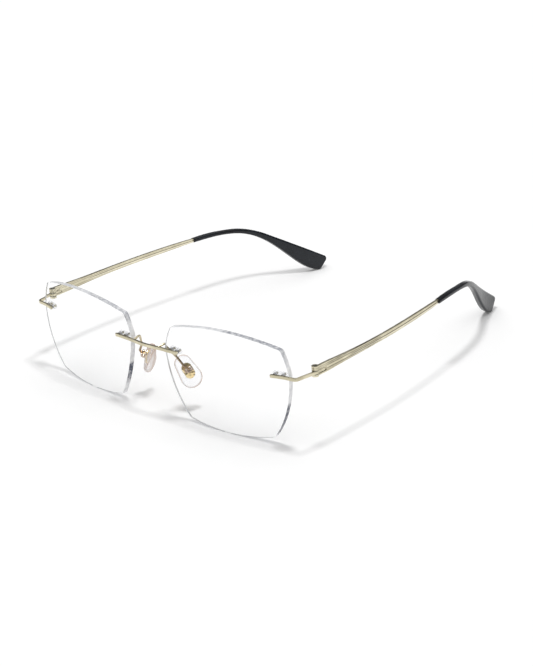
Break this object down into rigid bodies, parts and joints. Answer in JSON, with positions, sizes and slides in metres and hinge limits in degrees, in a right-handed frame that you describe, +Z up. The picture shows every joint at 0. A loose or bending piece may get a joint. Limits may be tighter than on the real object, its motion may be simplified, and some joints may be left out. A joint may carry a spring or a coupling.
{
  "type": "rimless eyeglasses",
  "caption": "Rimless eyeglasses: drilled angular lenses on a wire-thin metal bridge and end pieces, adjustable nose pads, and folding metal temples with dark paddle-ended tips.",
  "frame": {"origin": "on the table, under the middle of the glasses' bounding box", "axes": "+X towards the wearer's left, +Y back along the open temples towards the ears, +Z up"},
  "size_m": [0.141, 0.1533, 0.0401],
  "materials": {
    "lens": "clear polished, faintly grey ground edges",
    "clear_plug": "clear smooth",
    "frame_metal": "satin pale champagne gold plating",
    "tip_plastic": "satin near-black",
    "screw_steel": "bright",
    "washer_plastic": "matte dark",
    "pad_core": "bright gold",
    "pad_silicone": "clear soft silicone"
  },
  "bodies": {
    "front": {"lens_left": "lens", "lens_right": "lens", "lens_plug_nasal_left": "clear_plug", "lens_plug_nasal_right": "clear_plug", "lens_plug_temple_left": "clear_plug", "lens_plug_temple_right": "clear_plug", "bridge": "frame_metal", "end_piece_left": "frame_metal", "end_piece_right": "frame_metal", "pad_arm_left": "frame_metal", "pad_arm_right": "frame_metal", "pad_box_left": "frame_metal", "pad_box_right": "frame_metal", "pad_screw_left": "screw_steel", "pad_screw_right": "screw_steel"},
    "temple_assembly_left": {"temple_left": "frame_metal", "temple_tip_left": "tip_plastic", "hinge_screw_left": "screw_steel", "hinge_washers_left": "washer_plastic"},
    "temple_assembly_right": {"temple_right": "frame_metal", "temple_tip_right": "tip_plastic", "hinge_screw_right": "screw_steel", "hinge_washers_right": "washer_plastic"},
    "pad_left": {"nose_pad_left": "pad_silicone", "pad_core_left": "pad_core"},
    "pad_right": {"nose_pad_right": "pad_silicone", "pad_core_right": "pad_core"}
  },
  "joints": [
    {"name": "temple_fold_left", "type": "hinge", "parent": "front", "child": "temple_assembly_left", "pos_m": [0.06925, -0.06042, 0.0275], "axis": [0, 0, 1], "range_deg": [0, 81]},
    {"name": "temple_fold_right", "type": "hinge", "parent": "front", "child": "temple_assembly_right", "pos_m": [-0.06925, -0.06042, 0.0275], "axis": [0, 0, -1], "range_deg": [0, 75]},
    {"name": "pad_rock_left", "type": "hinge", "parent": "front", "child": "pad_left", "pos_m": [0.01227, -0.06639, 0.01698], "axis": [-0.2894, -0.8906, -0.3509], "range_deg": [-8, 8]},
    {"name": "pad_rock_right", "type": "hinge", "parent": "front", "child": "pad_right", "pos_m": [-0.01227, -0.06639, 0.01698], "axis": [0.2894, -0.8906, -0.3509], "range_deg": [-8, 8]}
  ]
}
